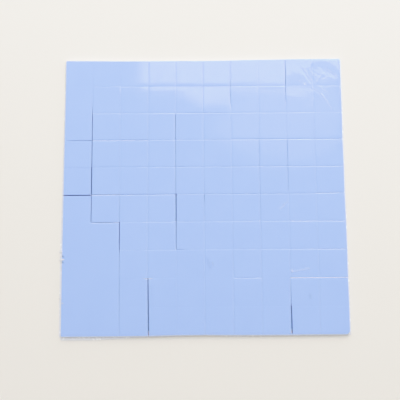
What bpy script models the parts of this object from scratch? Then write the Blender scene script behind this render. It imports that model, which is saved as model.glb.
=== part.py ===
"""Thermal pad sheet: soft silicone pads on a carrier liner, kiss-cut together with the clear film over them.

Lengths are in metres. +X runs to the right along a row of pads, +Y runs from the bottom row to the top row
and +Z is up. The origin is the middle of the underside, where the liner lies on the table. Each layer of
pieces is one solid, with the gaps between the pieces cut into its top face.
"""

from dataclasses import dataclass

import bmesh
import bpy
from mathutils import Matrix, Vector

# Pads
COLUMNS = 10
ROWS = 10
PAD_WIDTH = 0.010
PAD_LENGTH = 0.010
PAD_THICKNESS = 0.0010

# Kiss cuts, made from above by a wedge-shaped blade: their width at the pads' foot, what each side gains from
# there to the pads' top, and the skin that joins the pads under the cuts
CUT_WIDTH = 0.00004
CUT_FLARE = 0.00006
PAD_SKIN = 0.0001

# Clear film over the pads, cut with them, and the skin that joins its squares under the cuts
FILM_THICKNESS = 0.00008
FILM_SKIN = 0.00002

# Carrier liner under the pads, and how far it stands out past them on each side
LINER_THICKNESS = 0.0001
LINER_LEFT = 0.0006
LINER_RIGHT = 0.0002
LINER_BOTTOM = 0.0006
LINER_TOP = 0.0002
LINER_CORNER_RADIUS = 0.0005

# Clearance between one layer and the next, thinner than the film, because 0.3 mm would be three liners
LAYER_CLEARANCE = 0.00005

CORNER_SEGMENTS = 3

# Finishes: red, green, blue and alpha, then roughness
LINER_COLOUR = (0.80, 0.83, 0.88, 1.0)
LINER_ROUGHNESS = 0.35
SILICONE_COLOUR = (0.42, 0.56, 0.88, 1.0)
SILICONE_ROUGHNESS = 0.45
FILM_COLOUR = (0.85, 0.90, 0.98, 0.35)
FILM_ROUGHNESS = 0.12

SHEET_WIDTH = COLUMNS * PAD_WIDTH
SHEET_LENGTH = ROWS * PAD_LENGTH
LINER_WIDTH = LINER_LEFT + SHEET_WIDTH + LINER_RIGHT
LINER_LENGTH = LINER_BOTTOM + SHEET_LENGTH + LINER_TOP

# The liner is centred on the origin, so the pads lie off centre by half the difference of its margins.
SHEET_CENTRE = Vector(((LINER_LEFT - LINER_RIGHT) / 2, (LINER_BOTTOM - LINER_TOP) / 2, 0))

PADS_BOTTOM = LINER_THICKNESS + LAYER_CLEARANCE
PADS_TOP = PADS_BOTTOM + PAD_THICKNESS
FILM_BOTTOM = PADS_TOP + LAYER_CLEARANCE


@dataclass(frozen=True)
class OpenCut:
    """A stretch of a kiss cut that stands open, beside the pads from `first` up to but not with `last`.

    `line` counts the cuts from the left or from the top, with the sheet's own edge as 0. The widths are those
    at the foot of the cut at the stretch's two ends, and between them the width changes evenly.
    """

    line: int
    first: int
    last: int
    start_width: float
    end_width: float

    def width_at(self, place: float) -> float:
        """Return the width at a place along the cut, counted in pads."""
        share = (place - self.first) / (self.last - self.first)
        return self.start_width + share * (self.end_width - self.start_width)


# Open cuts between two columns, from left to right. Places run down the sheet.
OPEN_COLUMN_CUTS = (
    OpenCut(line=1, first=1, last=2, start_width=0.00004, end_width=0.00030),
    OpenCut(line=1, first=2, last=6, start_width=0.00032, end_width=0.00030),
    OpenCut(line=2, first=5, last=6, start_width=0.00014, end_width=0.00006),
    OpenCut(line=2, first=6, last=8, start_width=0.00030, end_width=0.00016),
    OpenCut(line=2, first=8, last=10, start_width=0.00016, end_width=0.00006),
    OpenCut(line=3, first=8, last=10, start_width=0.00024, end_width=0.00040),
    OpenCut(line=4, first=2, last=5, start_width=0.00008, end_width=0.00018),
    OpenCut(line=4, first=5, last=7, start_width=0.00030, end_width=0.00018),
    OpenCut(line=5, first=5, last=6, start_width=0.00012, end_width=0.00004),
    OpenCut(line=6, first=7, last=8, start_width=0.00004, end_width=0.00010),
    OpenCut(line=7, first=3, last=6, start_width=0.00014, end_width=0.00006),
    OpenCut(line=8, first=0, last=2, start_width=0.00020, end_width=0.00006),
    OpenCut(line=8, first=3, last=5, start_width=0.00014, end_width=0.00006),
    OpenCut(line=8, first=8, last=10, start_width=0.00016, end_width=0.00060),
)

# Open cuts between two rows, from top to bottom. Places run from left to right.
OPEN_ROW_CUTS = (
    OpenCut(line=3, first=0, last=1, start_width=0.00006, end_width=0.00014),
    OpenCut(line=3, first=7, last=10, start_width=0.00010, end_width=0.00008),
    OpenCut(line=5, first=0, last=1, start_width=0.00034, end_width=0.00024),
    OpenCut(line=6, first=1, last=2, start_width=0.00020, end_width=0.00018),
    OpenCut(line=7, first=4, last=5, start_width=0.00012, end_width=0.00004),
)


def clear_scene() -> None:
    """Remove every object that the new file starts with."""
    for old in list(bpy.data.objects):
        bpy.data.objects.remove(old, do_unlink=True)


def new_collection(name: str) -> bpy.types.Collection:
    """Return a new collection, linked to the scene."""
    collection = bpy.data.collections.new(name)
    bpy.context.scene.collection.children.link(collection)
    return collection


def plain_material(name: str, colour: tuple, roughness: float) -> bpy.types.Material:
    """Return a Principled material of one colour; a fourth value below 1 makes it see-through."""
    material = bpy.data.materials.new(name)
    material.use_nodes = True
    shader = material.node_tree.nodes["Principled BSDF"]
    shader.inputs["Base Color"].default_value = (*colour[:3], 1.0)
    shader.inputs["Alpha"].default_value = colour[3]
    shader.inputs["Roughness"].default_value = roughness
    shader.inputs["Metallic"].default_value = 0.0
    material.diffuse_color = colour
    return material


def add_object(name: str, body: bmesh.types.BMesh, collection: bpy.types.Collection) -> bpy.types.Object:
    """Put a finished mesh into a new object of a collection."""
    mesh = bpy.data.meshes.new(name)
    body.to_mesh(mesh)
    body.free()
    piece = bpy.data.objects.new(name, mesh)
    collection.objects.link(piece)
    return piece


def cut_width(cuts: tuple, line: int, pad: int, place: int) -> float:
    """Return the width of the cut on a line beside one pad, at a place along that line."""
    for cut in cuts:
        if cut.line == line and cut.first <= pad < cut.last:
            return cut.width_at(place)
    return CUT_WIDTH


def side_inset(cuts: tuple, line: int, last_line: int, pad: int, place: int, flare: float) -> float:
    """Return how far a pad's corner lies inside its grid line, which is nothing at the sheet's own edge."""
    if line in (0, last_line):
        return 0.0
    return cut_width(cuts, line, pad, place) / 2 + flare


def pad_corner(column_step: int, row_step: int, flare: float, height: float) -> Vector:
    """Return the place of one pad's corner.

    The steps count the pads' sides across and down the sheet, two to a pad: an even step is a pad's left or
    upper side and an odd one its right or lower side.
    """
    column, right = divmod(column_step, 2)
    row, lower = divmod(row_step, 2)
    column_line = column + right
    row_line = row + lower
    inset_x = side_inset(OPEN_COLUMN_CUTS, column_line, COLUMNS, row, row_line, flare)
    inset_y = side_inset(OPEN_ROW_CUTS, row_line, ROWS, column, column_line, flare)
    x = column_line * PAD_WIDTH - SHEET_WIDTH / 2 + (-inset_x if right else inset_x)
    y = SHEET_LENGTH / 2 - row_line * PAD_LENGTH + (inset_y if lower else -inset_y)
    return SHEET_CENTRE + Vector((x, y, height))


def cut_layer(
    name: str, bottom: float, skin: float, top: float, foot_flare: float, parts: bpy.types.Collection
) -> bpy.types.Object:
    """Make one layer of squares as a sheet with every kiss cut sunk into its top face, down to its skin.

    A grid with a cell for each square and each cut is closed into the skin, and then the squares' cells are
    extruded up out of it. The cuts gain `foot_flare` on each side at their foot and CUT_FLARE at their top.
    """
    column_cells = 2 * COLUMNS - 1
    row_cells = 2 * ROWS - 1
    body = bmesh.new()
    bmesh.ops.create_grid(body, x_segments=column_cells, y_segments=row_cells, size=0.5)
    across = body.verts.layers.int.new("column_step")
    down = body.verts.layers.int.new("row_step")
    for vert in body.verts:
        vert[across] = round((vert.co.x + 0.5) * column_cells)
        vert[down] = round((0.5 - vert.co.y) * row_cells)
    for vert in body.verts:
        vert.co = pad_corner(vert[across], vert[down], foot_flare, bottom + skin)
    squares = [face for face in body.faces if len({(v[across] // 2, v[down] // 2) for v in face.verts}) == 1]

    rim = [edge for edge in body.edges if edge.is_boundary]
    lowered = bmesh.ops.extrude_edge_only(body, edges=rim)["geom"]
    for part in lowered:
        if isinstance(part, bmesh.types.BMVert):
            part.co.z = bottom
    underside = [part for part in lowered if isinstance(part, bmesh.types.BMEdge) and part.is_boundary]
    bmesh.ops.contextual_create(body, geom=underside)

    raised = bmesh.ops.extrude_face_region(body, geom=squares)["geom"]
    for part in raised:
        if isinstance(part, bmesh.types.BMVert):
            part.co = pad_corner(part[across], part[down], CUT_FLARE, top)
    bmesh.ops.delete(body, geom=squares, context="FACES_ONLY")
    bmesh.ops.recalc_face_normals(body, faces=body.faces)
    return add_object(name, body, parts)


def build_carrier_liner(parts: bpy.types.Collection) -> None:
    """Make the liner that the pads lie on, with its four corners rounded, centred on the origin."""
    body = bmesh.new()
    size = Matrix.Diagonal((LINER_WIDTH, LINER_LENGTH, LINER_THICKNESS, 1.0))
    bmesh.ops.create_cube(body, size=1.0, matrix=size)
    upright = [edge for edge in body.edges if edge.verts[0].co.xy == edge.verts[1].co.xy]
    bmesh.ops.bevel(
        body, geom=upright, offset=LINER_CORNER_RADIUS, segments=CORNER_SEGMENTS, profile=0.5, affect="EDGES"
    )
    liner = add_object("carrier_liner", body, parts)
    liner.location.z = LINER_THICKNESS / 2
    liner.data.materials.append(plain_material("liner_film", LINER_COLOUR, LINER_ROUGHNESS))


def build_pad_layer(parts: bpy.types.Collection) -> None:
    """Make the layer of silicone pads, with the kiss cuts narrow at their foot."""
    layer = cut_layer("pad_layer", PADS_BOTTOM, PAD_SKIN, PADS_TOP, 0.0, parts)
    layer.data.materials.append(plain_material("blue_silicone", SILICONE_COLOUR, SILICONE_ROUGHNESS))


def build_cover_film(parts: bpy.types.Collection) -> None:
    """Make the layer of film squares, with cuts as wide as those at the pads' top."""
    film = cut_layer("cover_film", FILM_BOTTOM, FILM_SKIN, FILM_BOTTOM + FILM_THICKNESS, CUT_FLARE, parts)
    film.data.materials.append(plain_material("clear_film", FILM_COLOUR, FILM_ROUGHNESS))


def main() -> None:
    """Build the three layers from the table up."""
    clear_scene()
    parts = new_collection("thermal_pad_sheet")
    build_carrier_liner(parts)
    build_pad_layer(parts)
    build_cover_film(parts)


main()
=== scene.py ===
"""Dress the thermal pad sheet: silicone pads, the clear film over them, the liner under them, and the studio.

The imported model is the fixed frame, and every size here is in metres in that frame. Places on the sheet are
counted from the middle of the pads, +X to the right and +Y away from the camera. Grid lines and pads are
counted from the left and from the far row, which the camera sees at the top.
"""

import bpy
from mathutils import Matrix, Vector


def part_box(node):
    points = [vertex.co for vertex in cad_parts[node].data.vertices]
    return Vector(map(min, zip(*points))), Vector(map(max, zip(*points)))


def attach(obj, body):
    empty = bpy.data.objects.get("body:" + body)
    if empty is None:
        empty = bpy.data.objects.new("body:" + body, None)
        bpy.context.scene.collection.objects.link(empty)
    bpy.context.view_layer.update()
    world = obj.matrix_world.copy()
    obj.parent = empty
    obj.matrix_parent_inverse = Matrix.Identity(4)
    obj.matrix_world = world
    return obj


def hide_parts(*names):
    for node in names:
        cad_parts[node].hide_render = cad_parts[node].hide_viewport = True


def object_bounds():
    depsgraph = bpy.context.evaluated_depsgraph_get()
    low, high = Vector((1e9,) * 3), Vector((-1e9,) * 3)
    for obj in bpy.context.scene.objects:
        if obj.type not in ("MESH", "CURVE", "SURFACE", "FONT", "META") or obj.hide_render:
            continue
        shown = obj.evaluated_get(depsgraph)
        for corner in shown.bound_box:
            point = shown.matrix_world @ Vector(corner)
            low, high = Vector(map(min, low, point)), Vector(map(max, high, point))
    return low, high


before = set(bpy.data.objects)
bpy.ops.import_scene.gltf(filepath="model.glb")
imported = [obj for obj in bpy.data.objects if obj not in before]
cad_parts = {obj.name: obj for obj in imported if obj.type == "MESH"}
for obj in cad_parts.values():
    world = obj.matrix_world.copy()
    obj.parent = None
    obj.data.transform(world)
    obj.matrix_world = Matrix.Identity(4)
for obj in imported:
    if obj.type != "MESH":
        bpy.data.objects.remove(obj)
CAD_BOX = [list(corner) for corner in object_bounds()]

import logging
import math
from dataclasses import dataclass, field
from enum import Enum

import bmesh
import bpy
import numpy as np
from mathutils import Euler, Matrix, Vector

log = logging.getLogger("thermal_pad_sheet")

MM = 0.001
SEED = 41
ROOT_BODY = "root"

# How much of the lower of two crossing ridges stands on the higher one.
CROSSING_SHARE = 0.3

# Keeps a division by a length of nothing from being an error.
TINY = 1e-9

# The Mix node's colour sockets go by their places, because its other sockets have the same names.
COLOUR_A, COLOUR_B, COLOUR_RESULT = 6, 7, 2

# The place of the curve that acts on the three colours together.
COMBINED_CURVE = 3


class Shape(Enum):
    """The kinds of relief that a mark leaves in the film."""

    RIDGE = "ridge"
    DENT = "dent"


class Direction(Enum):
    """The two ways that a kiss cut can run across the sheet."""

    DOWN = "between two columns"
    ACROSS = "between two rows"


class Signal:
    """A node's output that takes part in arithmetic, each operation adding a node of its own."""

    def __init__(self, graph: "Graph", socket: bpy.types.NodeSocket) -> None:
        """Keep the graph and the output socket."""
        self.graph = graph
        self.socket = socket

    @property
    def is_number(self) -> bool:
        """Tell whether the signal is one number and not a colour or a vector."""
        return self.socket.type == "VALUE"

    def combine(self, operation: str, other: "Signal | float", swap: bool = False) -> "Signal":
        """Join two signals with a Math node, or a Vector Math node where either has three parts.

        Args:
            operation: The node's operation, such as MULTIPLY.
            other: The second operand.
            swap: Whether the second operand comes first.

        Returns:
            The node's result.
        """
        pair = (other, self) if swap else (self, other)
        numbers = self.is_number and not (isinstance(other, Signal) and not other.is_number)
        kind = "ShaderNodeMath" if numbers else "ShaderNodeVectorMath"
        return self.graph.add(kind, {"operation": operation}, {0: pair[0], 1: pair[1]})

    def __add__(self, other: "Signal | float") -> "Signal":
        """Add."""
        return self.combine("ADD", other)

    def __radd__(self, other: float) -> "Signal":
        """Add, reflected."""
        return self.combine("ADD", other, swap=True)

    def __sub__(self, other: "Signal | float") -> "Signal":
        """Subtract."""
        return self.combine("SUBTRACT", other)

    def __rsub__(self, other: float) -> "Signal":
        """Subtract, reflected."""
        return self.combine("SUBTRACT", other, swap=True)

    def __mul__(self, other: "Signal | float") -> "Signal":
        """Multiply."""
        return self.combine("MULTIPLY", other)

    def __rmul__(self, other: float) -> "Signal":
        """Multiply, reflected."""
        return self.combine("MULTIPLY", other, swap=True)

    def __pow__(self, other: float) -> "Signal":
        """Raise to a power."""
        return self.combine("POWER", other)

    def between(self, low: float, high: float) -> "Signal":
        """Spread the signal so that low gives 0 and high gives 1, held to that range."""
        settings = {"clamp": True, "interpolation_type": "SMOOTHSTEP"}
        return self.graph.add("ShaderNodeMapRange", settings, {"Value": self, "From Min": low, "From Max": high})


class Graph:
    """The node tree of one material or world, emptied, with one method that adds any node."""

    def __init__(self, name: str, owner: bpy.types.World | None = None) -> None:
        """Make a material of this name.

        Args:
            name: The material's name.
            owner: What the nodes belong to, if it isn't a new material.
        """
        self.owner = owner or bpy.data.materials.new(name)
        self.owner.use_nodes = True
        self.tree = self.owner.node_tree
        self.tree.nodes.clear()

    @classmethod
    def of_world(cls, name: str) -> "Graph":
        """Return the emptied node tree of a new world."""
        return cls(name, bpy.data.worlds.new(name))

    def add(self, kind: str, settings: dict | None = None, inputs: dict | None = None, output: int | str = 0) -> Signal:
        """Add a node, set it up and join its inputs.

        Args:
            kind: The node's type name.
            settings: The node's own settings, which are made first.
            inputs: A number, a colour or a signal for each input, by its name or place.
            output: The name or place of the output wanted.

        Returns:
            The output wanted.
        """
        node = self.tree.nodes.new(kind)
        for name, value in (settings or {}).items():
            setattr(node, name, value)
        for name, value in (inputs or {}).items():
            socket = node.inputs[name]
            if isinstance(value, Signal):
                self.tree.links.new(value.socket, socket)
            elif isinstance(value, (int, float)) and socket.type in {"VECTOR", "RGBA"}:
                socket.default_value = (value,) * len(socket.default_value)
            else:
                socket.default_value = value
        return Signal(self, node.outputs[output])

    def blend(self, factor: Signal | float, first: tuple | Signal, second: tuple | Signal) -> Signal:
        """Mix two colours, the second one by the factor."""
        inputs = {"Factor": factor, COLOUR_A: first, COLOUR_B: second}
        return self.add("ShaderNodeMix", {"data_type": "RGBA"}, inputs, output=COLOUR_RESULT)

    def place(self) -> Signal:
        """Return the point on the object, in metres."""
        return self.add("ShaderNodeTexCoord", output="Object")

    def noise(self, size: float, detail: float = 2.0, seed: float = 0.0) -> Signal:
        """Return a cloudy pattern from 0 to 1 with features of about one size, in metres."""
        inputs = {"Vector": self.place(), "W": seed, "Scale": 1.0 / size, "Detail": detail}
        return self.add("ShaderNodeTexNoise", {"noise_dimensions": "4D"}, inputs, output="Fac")

    def attribute(self, name: str) -> Signal:
        """Return a number that the mesh carries."""
        return self.add("ShaderNodeAttribute", {"attribute_name": name}, output="Fac")

    def surface(
        self, colour: Signal | tuple, roughness: Signal, normal: Signal, others: dict | None = None
    ) -> Signal:
        """Return a Principled shader, with any other inputs by name."""
        inputs = {"Base Color": colour, "Roughness": roughness, "Normal": normal, **(others or {})}
        return self.add("ShaderNodeBsdfPrincipled", inputs=inputs)

    def mix(self, factor: Signal, first: Signal, second: Signal) -> Signal:
        """Mix two shaders and return the result, the second one by the factor."""
        return self.add("ShaderNodeMixShader", inputs={0: factor, 1: first, 2: second})

    def bump(self, height: Signal, depth: float) -> Signal:
        """Turn a height from 0 to 1 into a surface normal, a height of 1 being as deep as depth, in metres."""
        return self.add("ShaderNodeBump", inputs={"Height": height, "Distance": depth, "Strength": 1.0})

    @staticmethod
    def span(ends: tuple, share: Signal) -> Signal:
        """Return what lies that share of the way from the first of two numbers to the second."""
        return ends[0] + (ends[1] - ends[0]) * share

    def finish(self, shader: Signal) -> bpy.types.Material:
        """Join a shader to the material's output.

        Args:
            shader: The shader.

        Returns:
            The material.
        """
        output = self.tree.nodes.new("ShaderNodeOutputMaterial")
        self.tree.links.new(shader.socket, output.inputs["Surface"])
        return self.owner


@dataclass(frozen=True)
class SiliconeFinish:
    """Soft silicone filled with ceramic powder: pale blue, faintly clouded, satin, with a fine grain."""

    colour: tuple = (0.375, 0.518, 0.949, 1.0)
    cloud_colour: tuple = (0.370, 0.513, 0.944, 1.0)
    tone_colour: tuple = (0.378, 0.521, 0.951, 1.0)
    # Painted shade: the darker colour of the pad walls inside the cuts.
    cut_wall_shade_colour: tuple = (0.230, 0.350, 0.700, 1.0)
    # Painted light: the pale colour of the pad walls along the sheet's outer edges.
    outer_wall_light_colour: tuple = (0.840, 0.900, 1.000, 1.0)
    cloud_size: float = 9 * MM
    grain_size: float = 0.16 * MM
    grain_depth: float = 0.004 * MM
    roughness: tuple = (0.42, 0.56)
    cloud_range: tuple = (0.35, 0.70)
    gloss: float = 0.35

    def material(self) -> bpy.types.Material:
        """Make the material, which reads the mesh's pad_tone, wall and rim numbers: the walls inside the cuts take a
        painted shade colour, and the rim number turns the sheet's outer walls to a painted light colour.

        Returns:
            The material.
        """
        graph = Graph("blue_silicone")
        cloud = graph.noise(self.cloud_size, detail=3.0, seed=1.0).between(*self.cloud_range)
        grain = graph.noise(self.grain_size, detail=2.0, seed=2.0)
        tone = graph.attribute("pad_tone")
        face = graph.blend(cloud, graph.blend(tone, self.colour, self.tone_colour), self.cloud_colour)
        # Painted shade on the walls inside the cuts, painted light on the sheet's outer walls.
        side = graph.blend(graph.attribute("rim"), self.cut_wall_shade_colour, self.outer_wall_light_colour)
        colour = graph.blend(graph.attribute("wall"), face, side)
        roughness = graph.span(self.roughness, grain)
        normal = graph.bump(grain, self.grain_depth)
        return graph.finish(graph.surface(colour, roughness, normal, {"Specular IOR Level": self.gloss}))


@dataclass(frozen=True)
class ClearFilmFinish:
    """Thin clear plastic film: what lies under it shows through, and each of its faces adds a little gloss."""

    gloss_facing: float = 0.022
    gloss_grazing: float = 0.60
    grazing_power: float = 5.0
    facing_blend: float = 0.5
    roughness: tuple = (0.05, 0.09)
    dull_roughness: float = 0.35
    wave_size: float = 6 * MM
    wave_depth: float = 0.002 * MM
    smear_size: float = 7 * MM
    smear_range: tuple = (0.30, 0.75)
    mirror: tuple = (1.0, 1.0, 1.0, 1.0)
    tint: tuple = (0.995, 0.998, 1.0, 1.0)
    # Painted highlight: the white matte on sharp crests, scratches and cut lips.
    crest_highlight_colour: tuple = (0.93, 0.95, 0.98, 1.0)
    # Painted shade: the dark matte in some dents and beside the liner's slivers.
    painted_shade_colour: tuple = (0.10, 0.16, 0.34, 1.0)

    def material(self) -> bpy.types.Material:
        """Make the material, which reads two numbers of the mesh: how much of the film is under a matte of painted
        highlight and shade, and how much of that is painted shade.

        Returns:
            The material.
        """
        graph = Graph("clear_film")
        smear = graph.noise(self.smear_size, detail=4.0, seed=5.0).between(*self.smear_range)
        wave = graph.noise(self.wave_size, detail=1.0, seed=6.0)
        normal = graph.bump(wave, self.wave_depth)
        facing = graph.add("ShaderNodeLayerWeight", inputs={"Blend": self.facing_blend}, output="Facing")
        gloss = self.gloss_facing + self.gloss_grazing * facing**self.grazing_power
        roughness = graph.span(self.roughness, smear)
        clear = graph.add("ShaderNodeBsdfTransparent", inputs={"Color": self.tint})
        film = graph.mix(gloss, clear, graph.surface(self.mirror, roughness, normal, {"Metallic": 1.0}))
        # A matte layer of painted highlight on crests and lips, and of painted shade in dents, over the clear film.
        colour = graph.blend(graph.attribute("dark"), self.crest_highlight_colour, self.painted_shade_colour)
        painted_matte = graph.surface(colour, roughness + self.dull_roughness, normal)
        return graph.finish(graph.mix(graph.attribute("dull"), film, painted_matte))


@dataclass(frozen=True)
class LinerFinish:
    """Milky release liner: thin, satin and half see-through, white at its torn edge, with painted blue light from the
    pads on it under them.
    """

    colour: tuple = (0.90, 0.91, 0.98, 1.0)
    fleck_colour: tuple = (0.97, 0.98, 1.00, 1.0)
    # Painted light: the blue that the pads cast onto the liner under and between them.
    pad_bounce_colour: tuple = (0.44, 0.68, 1.00, 1.0)
    pad_bounce_range: tuple = (0.50, 0.85)
    cover: float = 0.80
    fleck_cover: float = 0.18
    fleck_size: float = 0.9 * MM
    roughness: tuple = (0.22, 0.40)
    fleck_range: tuple = (0.52, 0.68)
    wave_depth: float = 0.01 * MM

    def material(self) -> bpy.types.Material:
        """Make the material, which reads the mesh's under number, which turns the liner under the pads to a painted
        blue light colour.

        Returns:
            The material.
        """
        graph = Graph("carrier_liner")
        fleck = graph.noise(self.fleck_size, detail=3.0, seed=8.0).between(*self.fleck_range)
        # Painted blue light from the pads, on the liner under them.
        under = graph.attribute("under").between(*self.pad_bounce_range)
        colour = graph.blend(under, graph.blend(fleck, self.colour, self.fleck_colour), self.pad_bounce_colour)
        body = graph.surface(colour, graph.span(self.roughness, fleck), graph.bump(fleck, self.wave_depth))
        clear = graph.add("ShaderNodeBsdfTransparent")
        return graph.finish(graph.mix(self.cover + self.fleck_cover * fleck, clear, body))


@dataclass(frozen=True)
class TableFinish:
    """Plain pale table top, faintly clouded."""

    colour: tuple = (0.815, 0.790, 0.750, 1.0)
    cloud_colour: tuple = (0.805, 0.780, 0.740, 1.0)
    cloud_size: float = 60 * MM
    grain_size: float = 0.8 * MM
    grain_depth: float = 0.01 * MM
    roughness: tuple = (0.75, 0.90)
    gloss: float = 0.2

    def material(self) -> bpy.types.Material:
        """Make the material.

        Returns:
            The material.
        """
        graph = Graph("pale_table")
        cloud = graph.noise(self.cloud_size, detail=3.0, seed=11.0)
        grain = graph.noise(self.grain_size, detail=2.0, seed=12.0)
        colour = graph.blend(cloud, self.colour, self.cloud_colour)
        roughness, normal = graph.span(self.roughness, grain), graph.bump(grain, self.grain_depth)
        return graph.finish(graph.surface(colour, roughness, normal, {"Specular IOR Level": self.gloss}))


@dataclass(frozen=True)
class Seam:
    """A stretch of a kiss cut. Places run along its line, in pads; widths and shifts are in millimetres.

    A width or a shift is one number, or a pair where it changes from the stretch's start to its end.

    Each side of the cut has a lip where the film and the pad round off: `before` is the strength of the one on the left
    or far side, and `after` of the one on the right or near side. The last field is how much painted highlight lies on
    the film's lip on the right or near side.
    """

    first: float
    last: float
    width: float | tuple = 0.012
    before: float = 1.0
    after: float = 1.0
    shift: float | tuple = 0.0
    painted_light: float = 0.0

    def along(self, ends: float | tuple, place: np.ndarray) -> np.ndarray:
        """Return a width or a shift at each place."""
        first, last = np.broadcast_to(ends, 2)
        return first + np.clip((place - self.first) / (self.last - self.first), 0, 1) * (last - first)

    def covers(self, place: np.ndarray) -> np.ndarray:
        """Tell for each place whether it lies in the stretch."""
        return (place >= self.first) & (place <= self.last)


@dataclass(frozen=True)
class Lean:
    """How one pad leans, in degrees: up to the right, up to the far side, and the far slope's change to the right."""

    column: int
    row: int
    right: float = 0.0
    far: float = 0.0
    twist: float = 0.0


@dataclass(frozen=True)
class Mark:
    """A wrinkle, scratch or dent in the film, from one point to another, in millimetres from the middle.

    The last field is how much painted highlight lies on the mark's crest; less than nothing is painted shade in the
    mark.
    """

    shape: Shape
    start: tuple
    end: tuple
    width: float
    height: float
    bend: float = 0.0
    painted_light: float = 0.0

    def profile(self, x: np.ndarray, y: np.ndarray) -> np.ndarray:
        """Return how much of the mark's height stands at points of the sheet.

        Args:
            x: The points' places to the right, in millimetres.
            y: The points' places to the far side, in millimetres.

        Returns:
            The shares, from 0 off the mark to 1 on its crest.
        """
        start, end = np.array(self.start), np.array(self.end)
        run = end - start
        length = float(np.hypot(*run))
        along = ((x - start[0]) * run[0] + (y - start[1]) * run[1]) / length**2
        across = ((x - start[0]) * -run[1] + (y - start[1]) * run[0]) / length
        across = across - self.bend * 4 * along * (1 - along)
        over = np.maximum(0, np.maximum(-along, along - 1)) * length
        distance = np.minimum(np.hypot(across, over) / self.width, 1)
        return 0.5 + 0.5 * np.cos(np.pi * distance)


@dataclass(frozen=True)
class Burr:
    """A sliver of torn liner that bends up over the left edge of the pads, in millimetres from the middle."""

    place: float
    outer: float
    inner: float
    width: float


DOWN, ACROSS = Direction.DOWN, Direction.ACROSS
RIDGE, DENT = Shape.RIDGE, Shape.DENT



def cut(*stretches: tuple) -> list[Seam]:
    """Return a cut's stretches, each given by its end and what follows that in Seam."""
    starts = (0.0, *(stretch[0] for stretch in stretches))
    return [Seam(start, *stretch) for start, stretch in zip(starts, stretches)]
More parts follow.
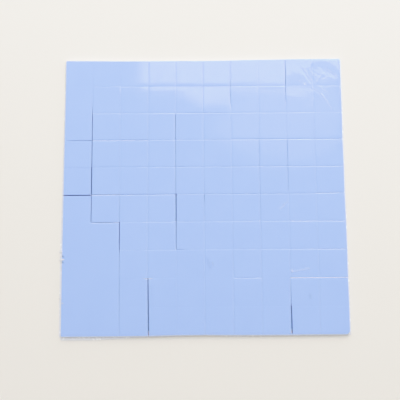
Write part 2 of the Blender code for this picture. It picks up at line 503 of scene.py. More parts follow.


# The cuts by direction and line, from left to right and from the far row to the near one. For each stretch: its end,
# its width, its lips before and after the cut, its shift and its painted highlight on the near lip.
SEAMS = {
    (DOWN, 1): cut(
        (1.65, (0.015, 0.02), 0.4, 0.8), (2.0, (0.02, 0.11), 1.0, 1.0, (-0.09, -0.17)),
        (4.0, (0.18, 0.203), 1.0, 1.0, -0.16), (5.0, 0.356, 1.0, 1.0, -0.17),
        (6.0, (0.176, 0.162), 1.0, 1.0, -0.17), (10.0, 0.0, 0.1, 0.1),
    ),
    (DOWN, 2): cut(
        (1.0, 0.018, 0.2, 0.1), (5.0, 0.014, 0.9, 0.4), (6.0, (0.042, 0.033), 1.6, 1.0, -0.14),
        (7.0, 0.225, 1.4, 1.0, -0.1), (8.0, (0.07, 0.043), 1.4, 1.0, -0.04),
        (10.0, (0.075, 0.035), 1.2, 1.0, (-0.01, 0.08)),
    ),
    (DOWN, 3): cut((1.0, 0.006, 0.8, 0.3), (8.0, 0.015, 1.7, 1.2), (10.0, (0.266, 0.468), 1.8, 1.0, (-0.01, 0.23))),
    (DOWN, 4): cut(
        (2.0, 0.008, 1.3, 0.6), (3.0, (0.115, 0.1), 2.0, 1.0, -0.22), (5.0, 0.08, 2.2, 1.0, (-0.19, -0.17)),
        (6.0, (0.347, 0.329), 2.0, 1.0, -0.1), (7.0, (0.158, 0.133), 2.0, 1.0, -0.09), (10.0, 0.004, 0.5, 0.4),
    ),
    (DOWN, 5): cut(
        (2.0, (0.01, 0.022), 1.8, 1.0, -0.15), (5.0, 0.012, 1.6, 0.8), (5.25, (0.13, 0.093), 1.0, 1.0, -0.04),
        (10.0, 0.008, 1.5, 0.7),
    ),
    (DOWN, 6): cut(
        (0.8, 0.022, 1.8), (1.7, (0.085, 0.065), 2.2, 1.0, -0.24), (3.0, 0.004, 1.3, 0.4),
        (7.4, 0.012, 0.9, 0.9), (7.9, 0.025, 1.8, 1.0, 0.07), (10.0, 0.012, 1.3),
    ),
    (DOWN, 7): cut(
        (1.0, 0.018, 1.7), (3.0, 0.008, 1.1, 0.4), (3.8, (0.045, 0.03), 1.6, 1.0, -0.14),
        (6.3, (0.047, 0.027), 1.5, 1.0, -0.14), (10.0, 0.012, 1.4, 0.8),
    ),
    (DOWN, 8): cut(
        (1.0, (0.135, 0.115), 1.6, 1.0, -0.06), (1.65, (0.099, 0.069), 1.4, 1.0, -0.15), (3.0, 0.004, 1.0, 0.4),
        (4.9, (0.062, 0.052), 1.6, 1.0, -0.05), (8.0, 0.006, 1.0, 0.8), (9.0, (0.03, 0.101), 2.2, 1.0, -0.11),
        (9.95, (0.315, 0.675), 1.6, 1.0, -0.15),
    ),
    (DOWN, 9): cut((1.0, 0.012, 1.0, 0.7), (10.0, (0.005, 0.006), 1.0, 0.7)),
    (ACROSS, 1): cut(
        (1.0, 0.0, 0.3, 0.3, 0.08), (2.0, 0.012, 0.8, 1.0, 0.08), (8.0, 0.02, 1.5, 2.0, 0.08),
        (10.0, 0.012, 0.9, 0.4, 0.08),
    ),
    (ACROSS, 2): cut((1.0, 0.0, 0.4, 0.6), (9.0, 0.02, 1.2, 1.5), (10.0, 0.012, 0.3, 0.5)),
    (ACROSS, 3): cut(
        (0.25, 0.012, 0.3, 0.3), (1.0, (0.098, 0.118), 0.6, 0.6, -0.12), (3.0, 0.07, 1.8, 3.8, 0.0, 0.16),
        (6.0, 0.035, 1.0, 1.2), (10.0, (0.045, 0.055), 1.8, 3.2, (0.05, 0.09)),
    ),
    (ACROSS, 4): cut((1.0, (0.025, 0.015), 0.4, 0.2, -0.1), (9.0, 0.034, 1.6, 1.4), (10.0, 0.045, 1.6, 2.0)),
    (ACROSS, 5): cut(
        (1.0, (0.33, 0.28), 1.6, 0.6, (-0.24, -0.2)), (2.0, (0.105, 0.08), 1.0, 5.0, (0.02, 0.05), 0.25),
        (4.0, 0.07, 1.6, 3.6), (9.0, 0.045, 1.3, 1.5), (10.0, 0.07, 1.0, 2.7, (0.2, 0.3)),
    ),
    (ACROSS, 6): cut(
        (1.0, 0.0, 0.1, 0.6), (2.0, (0.112, 0.094), 1.2, 4.5, -0.04, 0.12), (8.0, 0.004, 0.6, 2.4, (0.0, 0.1)),
        (10.0, 0.004, 0.8, 4.4, 0.1, 0.1),
    ),
    (ACROSS, 7): cut(
        (2.0, 0.0, 0.1, 0.3), (4.0, 0.002, 0.3, 2.8), (4.27, (0.06, 0.03), 1.0, 1.0, 0.12),
        (7.0, 0.003, 0.4, 1.9), (9.0, 0.003, 0.4, 2.8, 0.05), (10.0, 0.003, 0.4, 5.8, 0.05, 0.12),
    ),
    (ACROSS, 8): cut(
        (2.0, 0.0, 0.1, 0.3), (2.88, 0.002, 0.3, 1.7), (3.14, 0.004, 0.4, 5.0, 0.0, 0.5),
        (4.0, 0.002, 0.3, 1.3), (6.0, 0.0, 0.1, 0.4), (7.0, 0.003, 0.4, 5.0), (8.0, 0.003, 0.3, 0.7),
        (10.0, 0.006, 0.5, 6.5, 0.0, 0.5),
    ),
    (ACROSS, 9): cut((2.0, 0.0, 0.0, 0.0), (6.0, 0.002, 0.3, 0.8), (10.0, 0.003, 0.3)),
}

# How far the sheet's own edges, the first and last lines of each direction, stand outside the true square at
# every grid line, in millimetres.
EDGES = {
    DOWN: (
        (-0.03, -0.08, -0.06, 0.01, 0.05, 0.08, 0.10, 0.14, 0.14, 0.12, 0.10),
        (0.05, -0.07, -0.06, -0.17, -0.07, -0.14, -0.03, 0.01, -0.05, 0.01, -0.03),
    ),
    ACROSS: (
        (-0.06, -0.16, -0.31, -0.33, -0.29, -0.32, -0.19, -0.01, 0.12, 0.16, 0.20),
        (0.02, 0.04, 0.04, -0.02, -0.20, -0.25, -0.12, -0.08, -0.08, -0.10, -0.12),
    ),
}

# The sheet's rounded corners: column, row and radius in millimetres.
ROUND_CORNERS = {(0, 0): 0.5, (9, 0): 0.6, (0, 9): 0.4, (9, 9): 1.3}

# Squares whose lean decides what the film mirrors there. Columns and rows are counted from 0.
LEANING_SQUARES = (
    Lean(2, 0, right=-0.10, far=0.05),
    Lean(4, 1, far=-0.47, twist=-0.80),
    Lean(5, 1, far=-0.76),
    Lean(6, 1, far=-0.14),
    Lean(7, 0),
    Lean(8, 0, far=0.46),
    Lean(9, 0, right=0.16, far=0.54),
    Lean(7, 1),
    Lean(8, 1, far=-0.20),
    Lean(9, 1, far=0.27),
)

# Squares of the film so wrinkled that they need the closest grid, by column and row.
WRINKLED_SQUARES = {(8, 0), (9, 0), (8, 1), (9, 1)}



def marks(shape: Shape, *rows: tuple) -> list[Mark]:
    """Return marks of one shape, each given by what follows the shape in Mark."""
    return [Mark(shape, *row) for row in rows]


# Wrinkles fan out from a knot in the far right corner of the film; the rest are small scratches and dents. For each
# mark: its start, its end, its width and height, its bend, and its painted highlight on the crest, which is painted
# shade where it is less than nothing.
FILM_MARKS = (
    *marks(
        RIDGE,
        ((36.2, 39.7), (36.4, 40.6), 1.08, 0.025, -0.67), ((23.7, 36.1), (28.2, 34.6), 2.21, 0.009, -0.03),
        ((38.5, 54.3), (53.2, 44.1), 4.38, 0.051, -0.26), ((23.8, 41.8), (33.9, 43.6), 4.77, 0.039),
        ((50.8, 45.6), (46.8, 46.5), 1.98, 0.007, 0.18), ((41.9, 38.0), (44.4, 34.3), 0.55, 0.026, 0.0, 0.14),
        ((44.1, 34.8), (46.7, 30.7), 0.45, 0.02, 0.0, 0.08),
        ((42.4, 39.3), (44.9, 37.6), 0.5, 0.018, 0.0, 0.08),
        ((36.4, 47.0), (39.5, 41.7), 0.6, 0.024, -0.1, 0.13),
        ((38.2, 47.2), (40.6, 43.6), 0.55, 0.02, 0.0, 0.09), ((36.8, 40.9), (37.0, 40.4), 0.6, 0.03, 0.0, 0.24),
        ((34.6, 41.9), (35.9, 41.6), 0.45, 0.02, 0.0, 0.12), ((41.3, 41.2), (45.2, 45.8), 0.5, 0.02, 0.5, 0.09),
        ((43.2, 42.2), (45.0, 43.2), 0.5, 0.02, 0.0, 0.11), ((45.4, 46.3), (48.6, 43.6), 0.65, 0.02, 0.1, 0.11),
        ((39.2, 39.5), (41.0, 38.3), 0.55, 0.018, 0.0, 0.11), ((22.9, 36.8), (35.0, 34.6), 4.43, 0.015, 0.98),
        ((44.3, 41.3), (47.1, 41.6), 1.77, 0.012, 0.15), ((48.7, 42.4), (40.2, 46.0), 0.58, 0.038, 0.43),
        ((45.7, 42.9), (48.1, 42.0), 1.61, 0.026, 0.12), ((40.4, 36.7), (38.3, 31.4), 1.8, 0.01, 0.6),
        ((34.3, 44.3), (32.5, 45.5), 0.59, 0.038, -0.17), ((34.2, 45.3), (35.3, 43.6), 2.39, 0.014, -0.14),
        ((27.3, 39.1), (31.6, 38.9), 1.32, 0.009, 0.24), ((34.1, 45.3), (31.5, 44.4), 3.4, 0.052, -0.45),
        ((43.6, 37.2), (46.0, 36.1), 0.96, 0.007, -0.19), ((30.8, 41.8), (30.3, 40.4), 0.78, 0.042, 0.71),
        ((37.8, 46.4), (37.4, 43.7), 1.71, 0.016, 0.49), ((24.4, 33.6), (20.5, 32.3), 1.98, 0.011, -0.06),
        ((41.5, 47.2), (42.5, 49.2), 2.57, 0.039, 0.76), ((26.9, -5.5), (28.4, -4.3), 0.5, 0.064, 0.0, 0.2),
        ((27.9, -4.2), (29.4, -3.2), 0.45, 0.06, 0.0, 0.17),
        ((31.4, -27.9), (36.4, -27.0), 0.62, 0.052, 0.0, 0.17),
        ((30.5, -27.7), (30.6, -27.9), 0.85, 0.08, 0.0, 0.36),
        ((2.6, -24.4), (2.9, -25.6), 0.6, 0.05, 0.0, 0.1),
    ),
    *marks(
        DENT,
        ((44.5, 43.9), (46.2, 43.6), 1.36, 0.04, 0.45), ((42.4, 37.3), (39.3, 39.3), 1.37, 0.025, -0.29),
        ((46.7, 44.9), (41.6, 46.7), 3.6, 0.05, -0.41), ((31.6, 48.3), (31.8, 44.6), 0.67, 0.031, 0.07),
        ((35.2, 45.7), (39.4, 42.2), 1.84, 0.032, 0.57), ((37.3, 46.0), (39.3, 43.9), 1.31, 0.025, -0.18),
        ((41.8, 35.7), (44.1, 40.2), 2.44, 0.007, 0.82), ((32.8, 39.6), (34.2, 46.9), 4.02, 0.038, -0.38),
        # The two dents at the left edge, at x near -50, hold the painted shadow of the liner's slivers; the other dents
        # whose last number is less than nothing hold painted shade.
        ((27.4, 42.3), (32.6, 43.5), 1.54, 0.014), ((-50.1, -21.9), (-49.8, -22.2), 0.6, 0.02, 0.0, -0.35),
        ((-50.1, -24.1), (-49.8, -24.2), 0.6, 0.02, 0.0, -0.3),
        ((0.8, -23.6), (1.8, -26.6), 1.5, 0.04, 0.0, -0.045),
        ((36.5, -36.4), (36.7, -37.2), 1.3, 0.04, 0.0, -0.06),
    ),
)

LEFT_BURRS = (
    Burr(-20.3, outer=-51.3, inner=-49.95, width=0.52),
    Burr(-23.2, outer=-51.3, inner=-49.35, width=0.54),
    Burr(-36.8, outer=-51.1, inner=-50.00, width=0.36),
    Burr(-38.5, outer=-50.8, inner=-49.25, width=0.28),
)


@dataclass
class SheetPlan:
    """The plan of the kiss-cut sheet: where each square's edges lie, and how high its face is."""

    columns: int = 10
    rows: int = 10
    column_lip: float = 0.60 * MM
    row_lip: float = 0.45 * MM
    rim_lip: float = 1.2 * MM
    column_drop: float = 0.030 * MM
    row_drop: float = 0.022 * MM
    rim_drop: float = 0.050 * MM
    far_rim_drop: float = 0.018 * MM
    # Painted highlight on the left lip of each column cut, for each unit of that lip's strength.
    left_lip_highlight: float = 0.035
    lean_spread: float = 0.04
    level_spread: float = 0.006 * MM
    mark_probes: int = 41
    mark_limit: float = 0.004
    steps_by_detail: tuple = (6, 32, 46)
    lip_steps: tuple = (0.0, 0.2, 0.45, 0.72, 1.0)
    low: Vector = field(default_factory=lambda: Vector(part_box("pad_layer")[0]))
    high: Vector = field(default_factory=lambda: Vector(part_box("pad_layer")[1]))

    def __post_init__(self) -> None:
        """Draw each pad's lean, level and tone from a seeded generator."""
        draw = np.random.default_rng(SEED)
        shape = (self.columns, self.rows)
        self.leans = np.zeros((*shape, 3))
        self.leans[:, :, :2] = draw.normal(0.0, self.lean_spread, (*shape, 2))
        self.levels = draw.uniform(-self.level_spread, 0.0, shape)
        self.tones = draw.uniform(0.0, 1.0, shape)
        for lean in LEANING_SQUARES:
            self.leans[lean.column, lean.row] = (lean.right, lean.far, lean.twist)

    @property
    def centre(self) -> Vector:
        """Return the middle of the pads in plan."""
        return Vector(((self.low.x + self.high.x) / 2, (self.low.y + self.high.y) / 2, 0.0))

    @property
    def pitch(self) -> Vector:
        """Return the size of one square of the grid."""
        size = self.high - self.low
        return Vector((size.x / self.columns, size.y / self.rows, 0.0))

    def is_edge(self, direction: Direction, line: int) -> bool:
        """Tell whether a line is the sheet's own edge."""
        return line in (0, self.columns if direction is DOWN else self.rows)

    def line_place(self, direction: Direction, line: int, place: np.ndarray, side: int) -> np.ndarray:
        """Return where one side of a cut lies, across its line.

        Args:
            direction: Which way the line runs.
            line: The line's number, with the sheet's own edge as 0.
            place: The places along the line, in pads.
            side: 1 for the right or near side of the cut, -1 for the left or far side.

        Returns:
            How far each place lies to the right of the line, or to its near side, in metres.
        """
        if self.is_edge(direction, line):
            edge = EDGES[direction][line > 0]
            outward = 1 if line else -1
            return outward * np.interp(place, np.arange(len(edge)), edge) * MM
        width = np.full(place.shape, Seam.width)
        shift = np.zeros(place.shape)
        for seam in SEAMS.get((direction, line), ()):
            inside = seam.covers(place)
            width = np.where(inside, seam.along(seam.width, place), width)
            shift = np.where(inside, seam.along(seam.shift, place), shift)
        toward = 1 if direction is DOWN else -1
        return (toward * shift + side * width / 2) * MM

    def lip(self, direction: Direction, line: int, place: np.ndarray, side: int) -> np.ndarray:
        """Return how deep a square's lip drops beside a cut or at the sheet's own edge.

        Args:
            direction: Which way the line runs.
            line: The line's number.
            place: The places along the line, in pads.
            side: 1 for the right or near side of the line, -1 for the left or far side.

        Returns:
            The drops, in metres.
        """
        if self.is_edge(direction, line):
            is_far = direction is ACROSS and line == 0
            return np.full(place.shape, self.far_rim_drop if is_far else self.rim_drop)
        strength = np.ones(place.shape)
        for seam in SEAMS.get((direction, line), ()):
            inside = seam.covers(place)
            strength = np.where(inside, seam.before if side < 0 else seam.after, strength)
        return strength * (self.column_drop if direction is DOWN else self.row_drop)

    def lip_highlight_share(self, direction: Direction, line: int, place: np.ndarray, side: int) -> np.ndarray:
        """Return how much painted highlight lies on the film's lip beside a cut: on the near lip of a row cut and on
        the left lip of a column cut.

        Args:
            direction: Which way the line runs.
            line: The line's number.
            place: The places along the line, in pads.
            side: 1 for the right or near side of the line, -1 for the left or far side.

        Returns:
            The shares of painted highlight, from 0 to 1.
        """
        painted_light = np.zeros(place.shape)
        for seam in SEAMS.get((direction, line), ()):
            # Painted highlight: the left lip of a column cut, and the near lip of a row cut.
            left = seam.before * self.left_lip_highlight if direction is DOWN else 0.0
            painted_light = np.where(seam.covers(place), seam.painted_light if side > 0 else left, painted_light)
        return painted_light

    def lip_width(self, direction: Direction, line: int) -> float:
        """Return how wide the lip beside a line is."""
        inner = self.column_lip if direction is DOWN else self.row_lip
        return self.rim_lip if self.is_edge(direction, line) else inner

    def steps(self, direction: Direction, line: int, detail: int) -> np.ndarray:
        """Return places across a square from one line to the next, closer together in its two lips.

        Args:
            direction: Which way the lines run.
            line: The first of the two lines.
            detail: How close together the places are, from 0 to 2.

        Returns:
            The places, from 0 to 1.
        """
        size = self.pitch.x if direction is DOWN else self.pitch.y
        first = self.lip_width(direction, line) / size
        second = self.lip_width(direction, line + 1) / size
        ease = np.array(self.lip_steps)
        count = self.steps_by_detail[detail]
        middle = np.linspace(first, 1 - second, count + 1)[1:-1]
        return np.concatenate([first * ease, middle, 1 - second * ease[::-1]])

    def face(self, column: int, row: int, detail: int, marked: bool) -> tuple:
        """Return a square's face as grids of places.

        Args:
            column: The square's column.
            row: The square's row.
            detail: How close together the grid's places are, from 0 to 2.
            marked: Whether the film's marks are on the face.

        Returns:
            The grids of x, of y and of height against the layer's level, in metres, and two numbers of the film from 0
            to 1: how much of it is under a matte of painted highlight and shade, and how much of that is painted shade.
        """
        across = self.steps(DOWN, column, detail)
        down = self.steps(ACROSS, row, detail)
        u, v = np.meshgrid(across, down, indexing="ij")
        u_out, v_out = self.rounded(column, row, u, v)
        sides = (
            (DOWN, column, row + v, 1),
            (DOWN, column + 1, row + v, -1),
            (ACROSS, row, column + u, 1),
            (ACROSS, row + 1, column + u, -1),
        )
        left, right, far, near = (self.line_place(*side) for side in sides)
        x = self.low.x + (column + u_out) * self.pitch.x + left * (1 - u) + right * u
        y = self.high.y - (row + v_out) * self.pitch.y - far * (1 - v) - near * v

        # The share of the film under a matte of painted highlight and shade.
        dull = np.zeros(u.shape)
        lean_right, lean_far, twist = np.radians(self.leans[column, row])
        height = self.levels[column, row] + (u - 0.5) * self.pitch.x * np.tan(lean_right)
        height = height + (0.5 - v) * self.pitch.y * np.tan(lean_far + twist * (u - 0.5))
        pitches = (self.pitch.x, self.pitch.x, self.pitch.y, self.pitch.y)
        for part, pitch, side in zip((u, 1 - u, v, 1 - v), pitches, sides):
            share = np.clip(1 - part * pitch / self.lip_width(*side[:2]), 0, 1)
            height = height - self.lip(*side) * share**2
            # Painted highlight on the lips beside the cuts.
            dull = np.maximum(dull, self.lip_highlight_share(*side) * share)
        dark = np.zeros(u.shape)
        if marked:
            on_x, on_y = (x - self.centre.x) / MM, (y - self.centre.y) / MM
            height = height + self.relief(on_x, on_y) * MM
            for mark in FILM_MARKS:
                # A mark's painted highlight on its crest, or painted shade where its number is less than nothing.
                painted_mark = abs(mark.painted_light) * mark.profile(on_x, on_y) ** 2
                dark = np.where(painted_mark > dull, float(mark.painted_light < 0), dark)
                dull = np.maximum(dull, painted_mark)
        return x, y, height, dull, dark

    def rounded(self, column: int, row: int, u: np.ndarray, v: np.ndarray) -> tuple:
        """Draw a corner square's places in so that its corner of the sheet is round.

        Args:
            column: The square's column.
            row: The square's row.
            u: The places from left to right, from 0 to 1.
            v: The places from far to near, from 0 to 1.

        Returns:
            The new places.
        """
        if (column, row) not in ROUND_CORNERS:
            return u, v
        reach = ROUND_CORNERS[column, row] * MM / self.pitch.x
        from_u = u if column == 0 else 1 - u
        from_v = v if row == 0 else 1 - v
        a = np.clip(1 - from_u / reach, 0, 1)
        b = np.clip(1 - from_v / reach, 0, 1)
        pull = 1 - np.maximum(a, b) / np.maximum(np.hypot(a, b), TINY)
        inward_u = 1 if column == 0 else -1
        inward_v = 1 if row == 0 else -1
        return u + inward_u * reach * a * pull, v + inward_v * reach * b * pull

    @staticmethod
    def relief(x: np.ndarray, y: np.ndarray) -> np.ndarray:
        """Return the height of the film's marks at points of the sheet, all in millimetres.

        Args:
            x: The points' places to the right.
            y: The points' places to the far side.

        Returns:
            The heights.
        """
        ridge = np.zeros(x.shape)
        dent = np.zeros(x.shape)
        for mark in FILM_MARKS:
            height = mark.height * mark.profile(x, y)
            if mark.shape is DENT:
                dent = np.maximum(dent, height)
            else:
                ridge = np.maximum(ridge, height) + CROSSING_SHARE * np.minimum(ridge, height)
        return ridge - dent

    def detail(self, column: int, row: int) -> int:
        """Return 0 for a plain square, 1 for one that a mark of the film reaches and 2 for a wrinkled one."""
        return 2 if (column, row) in WRINKLED_SQUARES else int(self.has_mark(column, row))

    def has_mark(self, column: int, row: int) -> bool:
        """Tell whether a mark of the film reaches a square.

        Args:
            column: The square's column.
            row: The square's row.

        Returns:
            Whether one does.
        """
        places = np.linspace(0, 1, self.mark_probes)
        u, v = np.meshgrid(places, places)
        pitch = self.pitch / MM
        relief = self.relief((column + u - self.columns / 2) * pitch.x, (self.rows / 2 - row - v) * pitch.y)
        return bool(np.abs(relief).max() > self.mark_limit)


class MeshBuilder:
    """Collects the vertices and faces of many closed bodies into one mesh, with a number on each vertex."""

    def __init__(self, name: str, numbers: tuple = ()) -> None:
        """Start an empty mesh.

        Args:
            name: The name of the object.
            numbers: The names of the numbers that each vertex carries.
        """
        self.name = name
        self.points: list = []
        self.faces: list = []
        self.numbers = {number: [] for number in numbers}

    def add_points(self, points: np.ndarray, **numbers: float | np.ndarray) -> int:
        """Add points and the numbers that they carry.

        Args:
            points: The points, as an array whose last axis is x, y and z.
            numbers: What each point carries, where it isn't 0.

        Returns:
            The index of the first point.
        """
        first = len(self.points)
        self.points.extend(map(tuple, points.reshape(-1, 3)))
        added = len(self.points) - first
        for number, values in self.numbers.items():
            values.extend(np.broadcast_to(numbers.get(number, 0.0), added).tolist())
        return first

    def add_grid(self, grid: np.ndarray, upward: bool, **numbers: float) -> np.ndarray:
        """Add a grid of points and its faces.

        Args:
            grid: The points, as an array of (across, down, 3).
            upward: Whether the faces point up, where the grid runs to the right and to the near side.
            numbers: What each vertex carries.

        Returns:
            The indices of the grid's points.
        """
        first = self.add_points(grid, **numbers)
        index = first + np.arange(grid.shape[0] * grid.shape[1]).reshape(grid.shape[:2])
        a, b, c, d = index[:-1, :-1], index[:-1, 1:], index[1:, 1:], index[1:, :-1]
        quads = np.stack([a, b, c, d] if upward else [d, c, b, a], axis=-1).reshape(-1, 4)
        self.faces.extend(quads.tolist())
        return index

    def add_wall(self, upper: np.ndarray, lower: np.ndarray) -> None:
        """Join two closed rings of points by quads that face outward.

        Args:
            upper: The indices of the upper ring, running anticlockwise seen from above.
            lower: The indices of the lower ring.
        """
        quads = np.stack([upper, lower, np.roll(lower, -1), np.roll(upper, -1)], axis=-1)
        self.faces.extend(quads.tolist())

    def build(self, material: bpy.types.Material, sharp: float = 40.0) -> bpy.types.Object:
        """Make the object, shaded smooth but for its sharp edges.

        Args:
            material: The finish.
            sharp: The angle between two faces, in degrees, from which their edge stays sharp.

        Returns:
            The object, linked to the scene.
        """
        mesh = bpy.data.meshes.new(self.name)
        mesh.from_pydata(self.points, [], self.faces)
        mesh.validate()
        for number, values in self.numbers.items():
            layer = mesh.attributes.new(number, "FLOAT", "POINT")
            layer.data.foreach_set("value", values)
        mesh.shade_smooth()
        mesh.set_sharp_from_angle(angle=math.radians(sharp))
        mesh.materials.append(material)
        piece = bpy.data.objects.new(self.name, mesh)
        bpy.context.scene.collection.objects.link(piece)
        return piece


def rim_of(index: np.ndarray) -> np.ndarray:
    """Return the indices round a grid's rim, anticlockwise seen from above.

    Args:
        index: The grid's indices, running to the right and to the near side.

    Returns:
        The rim, from the far left corner down the left side and round.
    """
    left = index[0, :]
    near = index[1:, -1]
    right = index[-1, -2::-1]
    far = index[-2:0:-1, 0]
    return np.concatenate([left, near, right, far])


@dataclass
class PadLayer:
    """The silicone pads: soft squares with rounded lips, each a little out of level with its neighbours, with painted
    shade on the walls inside the cuts and painted light on the sheet's outer walls.
    """

    plan: SheetPlan
    finish: SiliconeFinish = SiliconeFinish()
    sink: float = 0.020 * MM
    foot: float = 0.18 * MM
    lit_rim: float = 0.95
    rings: tuple = (0.3, 0.7)

    def build(self) -> bpy.types.Object:
        """Build every pad as a closed body of one mesh, which replaces the plain layer.

        Returns:
            The object.
        """
        mesh = MeshBuilder("silicone_pads", ("pad_tone", "wall", "rim"))
        for column, row in np.ndindex(self.plan.columns, self.plan.rows):
            self.add_pad(mesh, column, row)
        piece = mesh.build(self.finish.material())
        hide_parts("pad_layer")
        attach(piece, ROOT_BODY)
        return piece

    def add_pad(self, mesh: MeshBuilder, column: int, row: int) -> None:
        """Add one pad.

        Args:
            mesh: The mesh to add it to.
            column: The pad's column.
            row: The pad's row.
        """
        tone = self.plan.tones[column, row]
        x, y, height = self.plan.face(column, row, detail=0, marked=False)[:3]
        z = self.plan.high.z - self.sink + height
        top = mesh.add_grid(np.stack([x, y, z], axis=-1), upward=True, pad_tone=tone)
        upper = rim_of(top)
        rim = np.array([mesh.points[i] for i in upper])
        outer = self.outer_share(column, row, x.shape)
        for share in (0.0, *self.rings, 1.0):
            ring = rim.copy()
            ring[:, 2] = rim[:, 2] + (self.plan.low.z - rim[:, 2]) * share
            ring[:, :2] += outer * self.foot * share
            # The sheet's outer walls take the painted light colour; walls inside the cuts keep the painted shade
            # colour.
            rim_light = np.where(outer.sum(axis=1) > 0, self.lit_rim, np.abs(outer).max(axis=1))
            lower = mesh.add_points(ring, pad_tone=tone, wall=1.0, rim=rim_light)
            lower = lower + np.arange(len(ring))
            mesh.add_wall(upper, lower)
            upper = lower
        mesh.faces.append(upper[::-1].tolist())

    def outer_share(self, column: int, row: int, shape: tuple) -> np.ndarray:
        """Return for each point of a pad's rim which way is out of the sheet, or nothing inside the sheet.

        Args:
            column: The pad's column.
            row: The pad's row.
            shape: How many points the pad's face has across and down.

        Returns:
            A direction in plan for each point of the rim.
        """
        out = np.zeros((*shape, 2))
        out[0, :, 0] = -float(column == 0)
        out[-1, :, 0] = float(column == self.plan.columns - 1)
        out[:, 0, 1] = float(row == 0)
        out[:, -1, 1] = -float(row == self.plan.rows - 1)
        index = np.arange(shape[0] * shape[1]).reshape(shape)
        return out.reshape(-1, 2)[rim_of(index)]


@dataclass
class CoverFilm:
    """The clear film, cut with the pads: one thin square on each, with wrinkles and scratches."""

    plan: SheetPlan
    finish: ClearFilmFinish = ClearFilmFinish()
    rest_below_top: float = 0.055 * MM
    thickness: float = 0.045 * MM

    def build(self) -> bpy.types.Object:
        """Build every film square as a closed body of one mesh, which replaces the plain film.

        Returns:
            The object.
        """
        # The film carries how much of it is under painted highlight and shade, and how much of that is painted shade.
        mesh = MeshBuilder("film_squares", ("dull", "dark"))
        for column, row in np.ndindex(self.plan.columns, self.plan.rows):
            self.add_square(mesh, column, row)
        piece = mesh.build(self.finish.material())
        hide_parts("cover_film")
        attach(piece, ROOT_BODY)
        return piece

    def add_square(self, mesh: MeshBuilder, column: int, row: int) -> None:
        """Add one film square.

        Args:
            mesh: The mesh to add it to.
            column: The square's column.
            row: The square's row.
        """
        x, y, height, dull, dark = self.plan.face(column, row, self.plan.detail(column, row), marked=True)
        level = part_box("cover_film")[1][2] - self.rest_below_top
        points = np.stack([x, y, level + height], axis=-1)
        top = mesh.add_grid(points, upward=True, dull=dull.ravel(), dark=dark.ravel())
        bottom = mesh.add_grid(np.stack([x, y, level + height - self.thickness], axis=-1), upward=False)
        mesh.add_wall(rim_of(top), rim_of(bottom))


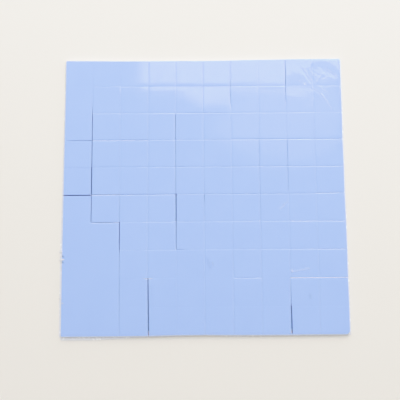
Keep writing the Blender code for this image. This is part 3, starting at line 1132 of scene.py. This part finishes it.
@dataclass
class CarrierLiner:
    """The liner under the pads, whose edge stands out on the left and near sides and is ragged on the left."""

    plan: SheetPlan
    finish: LinerFinish = LinerFinish()
    step: float = 0.25 * MM
    rough_left: float = 0.07 * MM
    rough_elsewhere: float = 0.02 * MM
    inner_margin: float = 3.2 * MM
    burr_thickness: float = 0.05 * MM
    burr_profile: tuple = ((0.0, 0.12, 0.5), (0.35, 0.55, 0.9), (0.55, 1.10, 1.0), (0.70, 1.265, 1.0), (1.0, 1.28, 0.3))
    left_reach: tuple = (0.35, 0.32, 0.42, 0.52, 0.62, 0.72, 0.85, 1.00, 0.95, 0.95, 0.90)
    near_reach: tuple = (1.26, 1.30, 0.90, 0.42, 0.20, 0.00, 0.40, 0.36, 0.35, 0.32, 0.24)
    right_reach: tuple = (0.55, 0.60, 0.55, 0.50, 0.48, 0.48, 0.50, 0.52, 0.55, 0.55, 0.50)
    far_reach: tuple = (0.05, 0.0, -0.15, -0.20, -0.20, -0.20, -0.10, 0.0, 0.05, 0.10, 0.05)

    def build(self) -> bpy.types.Object:
        """Build the liner as a closed sheet with an uneven edge, which replaces the plain one.

        Returns:
            The object.
        """
        low, high = (Vector(corner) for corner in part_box("carrier_liner"))
        outline = self.outline()
        mesh = MeshBuilder("liner_sheet", ("under",))
        inward = self.shrunk(outline, self.inner_margin)
        rings = []
        for ring, level in ((inward, high.z), (outline, high.z), (outline, low.z), (inward, low.z)):
            points = np.column_stack([ring, np.full(len(ring), level)])
            # Marks the liner under the pads, where it takes the painted blue light.
            rings.append(mesh.add_points(points, under=float(ring is inward)) + np.arange(len(ring)))
        mesh.faces.append(rings[0].tolist())
        for upper, lower in zip(rings, rings[1:]):
            mesh.add_wall(upper, lower)
        mesh.faces.append(rings[-1][::-1].tolist())
        for burr in LEFT_BURRS:
            self.add_burr(mesh, burr)
        piece = mesh.build(self.finish.material())
        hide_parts("carrier_liner")
        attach(piece, ROOT_BODY)
        return piece

    def add_burr(self, mesh: MeshBuilder, burr: Burr) -> None:
        """Add one sliver, which rises from the liner's edge and ends flat over the pads.

        Args:
            mesh: The mesh to add it to.
            burr: The sliver.
        """
        lower = None
        for share, level, spread in self.burr_profile:
            half = burr.width * spread / 2 * MM
            middle = self.plan.centre + Vector(
                ((burr.outer + (burr.inner - burr.outer) * share) * MM, burr.place * MM, level * MM)
            )
            thin = self.burr_thickness / 2
            corners = ((0, half, 0), (0, 0, thin), (0, -half, 0), (0, 0, -thin))
            upper = mesh.add_points(np.array([middle + Vector(corner) for corner in corners])) + np.arange(4)
            if lower is None:
                mesh.faces.append(upper[::-1].tolist())
            else:
                mesh.add_wall(upper, lower)
            lower = upper
        mesh.faces.append(lower.tolist())

    def outline(self) -> np.ndarray:
        """Draw the liner's edge, with a seeded roughness.

        Returns:
            Its points in plan, anticlockwise from the far left corner.
        """
        draw = np.random.default_rng(SEED + 1)
        low, high = self.plan.low, self.plan.high
        count = int((high.y - low.y) / self.step)
        share = np.linspace(0, 1, count, endpoint=False)
        grid = np.linspace(0, 1, self.plan.rows + 1)
        reaches = (self.left_reach, self.near_reach, self.right_reach[::-1], self.far_reach[::-1])
        left, near, right, far = (np.interp(share, grid, reach) * MM for reach in reaches)
        left = left - np.abs(draw.normal(0, self.rough_left, count))
        near = near - np.abs(draw.normal(0, self.rough_elsewhere, count))
        size = high - low
        sides = (
            np.column_stack([low.x - left, high.y - share * size.y]),
            np.column_stack([low.x + share * size.x, low.y - near]),
            np.column_stack([high.x + right, low.y + share * size.y]),
            np.column_stack([high.x - share * size.x, high.y + far]),
        )
        return np.concatenate(sides)

    @staticmethod
    def shrunk(outline: np.ndarray, margin: float) -> np.ndarray:
        """Move an outline in towards its middle.

        Args:
            outline: The outline's points in plan.
            margin: How far it moves in on each axis, in metres.

        Returns:
            The smaller outline.
        """
        middle = (outline.min(axis=0) + outline.max(axis=0)) / 2
        half = (outline.max(axis=0) - outline.min(axis=0)) / 2
        return middle + (outline - middle) * (half - margin) / half


@dataclass(frozen=True)
class Lamp:
    """A flat lamp that faces straight down, placed by where the sheet mirrors its near left corner."""

    name: str
    mirror_left: float
    mirror_near: float
    height: float
    width: float
    depth: float
    radiance: float
    shape: str = "RECTANGLE"
    colour: tuple = (1.0, 1.0, 1.0)

    def build(self, eye: Vector, face: Vector) -> bpy.types.Object:
        """Make the lamp.

        Args:
            eye: Where the camera is.
            face: The middle of the sheet's upper face.

        Returns:
            The lamp.
        """
        above = eye.z - face.z
        share = above / (above + self.height)
        image = face + Vector((self.mirror_left, self.mirror_near, 0.0))
        corner = eye.xy + (image.xy - eye.xy) / share
        light = bpy.data.lights.new(self.name, "AREA")
        light.shape = self.shape
        light.size = self.width
        light.size_y = self.depth
        light.color = self.colour
        area = self.width * self.depth * (math.pi / 4 if self.shape == "ELLIPSE" else 1.0)
        light.energy = self.radiance * math.pi * area
        lamp = bpy.data.objects.new(self.name, light)
        lamp.location = (corner.x + self.width / 2, corner.y + self.depth / 2, face.z + self.height)
        bpy.context.scene.collection.objects.link(lamp)
        return lamp


@dataclass(frozen=True)
class Room:
    """The pale room round the table, brighter towards the windows at its far right side."""

    toward_window: tuple = (0.24, 0.94, 0.0)
    dark: float = 0.600
    bright: float = 1.178
    dark_at: float = -0.45
    bright_at: float = 0.75
    colour: tuple = (1.0, 0.985, 0.965, 1.0)

    def build(self) -> bpy.types.World:
        """Make the room.

        Returns:
            The world.
        """
        graph = Graph.of_world("pale_room")
        direction = graph.add("ShaderNodeTexCoord", output="Generated")
        settings = {"operation": "DOT_PRODUCT"}
        side = graph.add("ShaderNodeVectorMath", settings, {0: direction, 1: self.toward_window}, output="Value")
        strength = self.dark + (self.bright - self.dark) * side.between(self.dark_at, self.bright_at)
        background = graph.add("ShaderNodeBackground", inputs={"Color": self.colour, "Strength": strength})
        output = graph.tree.nodes.new("ShaderNodeOutputWorld")
        graph.tree.links.new(background.socket, output.inputs["Surface"])
        return graph.owner


@dataclass
class Studio:
    """The camera at the photograph's angle, the pale table, the lamps and the pale room."""

    plan: SheetPlan
    table: TableFinish = TableFinish()
    room: Room = Room()
    distance: float = 0.35677
    azimuth: float = 2.18
    elevation: float = 78.34
    roll: float = 1.75
    field_of_view: float = 22.51
    near_clip: float = 0.01
    aim: tuple = (-1.60 * MM, -2.22 * MM)
    table_side: float = 3.0
    table_gap: float = 0.02 * MM
    tone_curve: tuple = (
        (0.0, 0.0),
        (0.3, 0.3),
        (0.6, 0.597),
        (0.74, 0.695),
        (0.9, 0.825),
        (1.0, 0.885),
        (1.1, 0.925),
        (1.3, 0.950),
        (2.0, 0.970),
    )
    lamps: tuple = (
        Lamp("back_softbox", -22.3 * MM, 39.2 * MM, 0.50, 0.38, 1.20, 2.64),
        Lamp("back_left_panel", -85 * MM, 63 * MM, 0.50, 0.14, 1.08, 2.40),
        Lamp("back_right_strip", 30.5 * MM, 57 * MM, 0.50, 0.062, 0.24, 4.6),
        Lamp("haze_disc", 4.5 * MM, 13 * MM, 0.80, 0.160, 0.088, 0.72, shape="ELLIPSE"),
    )

    @property
    def face(self) -> Vector:
        """Return the middle of the sheet's upper face."""
        centre = self.plan.centre
        return Vector((centre.x, centre.y, CAD_BOX[1][2]))

    def build(self) -> None:
        """Build the camera, the table, the lamps and the room."""
        camera = self.build_camera()
        self.build_table()
        for lamp in self.lamps:
            lamp.build(camera.location, self.face)
        bpy.context.scene.world = self.room.build()
        self.set_tone()

    def build_camera(self) -> bpy.types.Object:
        """Make the scene's camera.

        Returns:
            The camera.
        """
        data = bpy.data.cameras.new("camera")
        data.angle = math.radians(self.field_of_view)
        data.clip_start = self.near_clip
        camera = bpy.data.objects.new("camera", data)
        turn = Euler((math.radians(90 - self.elevation), 0.0, -math.radians(self.azimuth)), "XYZ").to_matrix()
        turn = turn @ Matrix.Rotation(math.radians(self.roll), 3, "Z")
        target = self.face + Vector((*self.aim, 0.0))
        camera.rotation_euler = turn.to_euler()
        camera.location = target + turn @ Vector((0.0, 0.0, self.distance))
        bpy.context.scene.collection.objects.link(camera)
        bpy.context.scene.camera = camera
        return camera

    def set_tone(self) -> None:
        """Soften the highlights as a camera does, with one curve for the three colours."""
        view = bpy.context.scene.view_settings
        view.view_transform = "Standard"
        view.use_curve_mapping = True
        mapping = view.curve_mapping
        mapping.clip_max_x = mapping.clip_max_y = self.tone_curve[-1][0]
        points = mapping.curves[COMBINED_CURVE].points
        points[0].location = self.tone_curve[0]
        points[-1].location = self.tone_curve[-1]
        for place in self.tone_curve[1:-1]:
            points.new(*place)
        mapping.update()

    def build_table(self) -> None:
        """Make the table top, just under the sheet."""
        body = bmesh.new()
        bmesh.ops.create_grid(body, x_segments=1, y_segments=1, size=self.table_side / 2)
        mesh = bpy.data.meshes.new("table_top")
        body.to_mesh(mesh)
        body.free()
        mesh.materials.append(self.table.material())
        table = bpy.data.objects.new("table_top", mesh)
        table.location.z = CAD_BOX[0][2] - self.table_gap
        bpy.context.scene.collection.objects.link(table)


def report(piece: bpy.types.Object) -> None:
    """Log a finished piece and its number of faces."""
    log.info("%s: %d faces", piece.name, len(piece.data.polygons))


def main() -> None:
    """Build the sheet from the table up, then the studio round it."""
    logging.basicConfig(level=logging.INFO, format="%(message)s")
    plan = SheetPlan()
    Studio(plan).build()
    for layer in (CarrierLiner(plan), PadLayer(plan), CoverFilm(plan)):
        report(layer.build())


if __name__ == "__main__":
    main()
